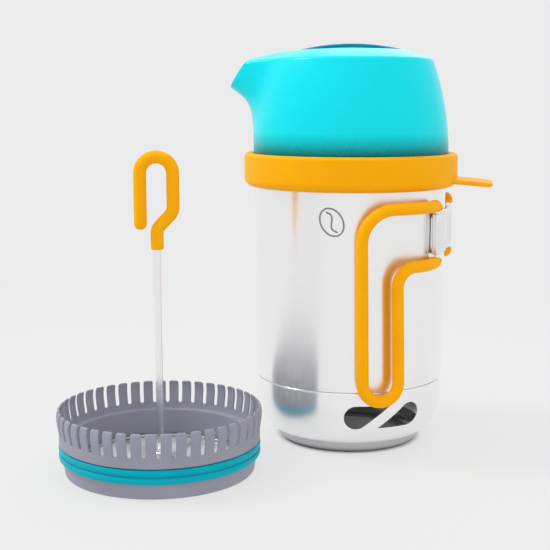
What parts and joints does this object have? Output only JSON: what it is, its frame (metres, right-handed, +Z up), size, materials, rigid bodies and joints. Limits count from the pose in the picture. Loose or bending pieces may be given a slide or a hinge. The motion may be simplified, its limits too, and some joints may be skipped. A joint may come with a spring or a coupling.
{
  "type": "camp kettle with coffee plunger",
  "caption": "Camp kettle pot with heat skirt, spouted lid, silicone rim ring and swing-out wire handles, with a plunger filter on a hooked rod beside it.",
  "frame": {"origin": "under the middle of the set's bounding box, on the surface that the pot and the plunger stand on", "axes": "+Z up; +X towards the pot's handle side; -X the side that the spout points to"},
  "size_m": [0.2774, 0.239, 0.275],
  "materials": {
    "steel_pot": "brushed stainless steel",
    "steel_foot": "satin stainless steel",
    "steel_wire": "bright drawn stainless wire",
    "silicone_orange": "satin moulded silicone",
    "lid_aqua": "translucent frosted plastic",
    "bar_teal": "smooth plastic",
    "frame_grey": "fine textured plastic",
    "seal_teal": "satin silicone",
    "mesh_steel": "woven stainless wire cloth"
  },
  "bodies": {
    "pot": {"pot_shell": "steel_pot", "heat_skirt": "steel_pot", "foot_ring": "steel_foot", "hinge_bracket": "steel_pot"},
    "handle_front": {"handle_wire_front": "steel_wire", "handle_grip_front": "silicone_orange"},
    "handle_rear": {"handle_wire_rear": "steel_wire", "handle_grip_rear": "silicone_orange"},
    "ring": {"rim_ring": "silicone_orange"},
    "lid": {"lid_shell": "lid_aqua", "lid_grip_bar": "bar_teal"},
    "plunger": {"filter_frame": "frame_grey", "filter_spider": "frame_grey", "filter_seal": "seal_teal", "filter_mesh": "mesh_steel", "mesh_clamp_ring": "steel_foot", "hub_washer": "steel_foot", "hub_nut": "steel_wire"},
    "plunger_rod": {"press_rod": "steel_wire", "press_hook_grip": "silicone_orange"}
  },
  "joints": [
    {"name": "handle_front_swing", "type": "hinge", "parent": "pot", "child": "handle_front", "pos_m": [0.1019, 0.01136, 0.149], "axis": [0, 0, 1], "range_deg": [0, 150]},
    {"name": "handle_rear_swing", "type": "hinge", "parent": "pot", "child": "handle_rear", "pos_m": [0.1077, 0.06649, 0.149], "axis": [0, 0, -1], "range_deg": [0, 150]},
    {"name": "lid_lift", "type": "slide", "parent": "pot", "child": "ring", "axis": [0, 0, 1], "range_m": [0, 0.14]},
    {"name": "lid_turn", "type": "hinge", "parent": "ring", "child": "lid", "pos_m": [0.04049, 0.04568, 0.196], "axis": [0, 0, 1], "continuous": true},
    {"name": "plunger_lift", "type": "slide", "parent": "pot", "child": "plunger", "axis": [0, 0, 1], "range_m": [0, 0.15]},
    {"name": "rod_turn", "type": "hinge", "parent": "plunger", "child": "plunger_rod", "pos_m": [-0.07248, -0.05329, 0.004], "axis": [0, 0, 1], "continuous": true}
  ]
}
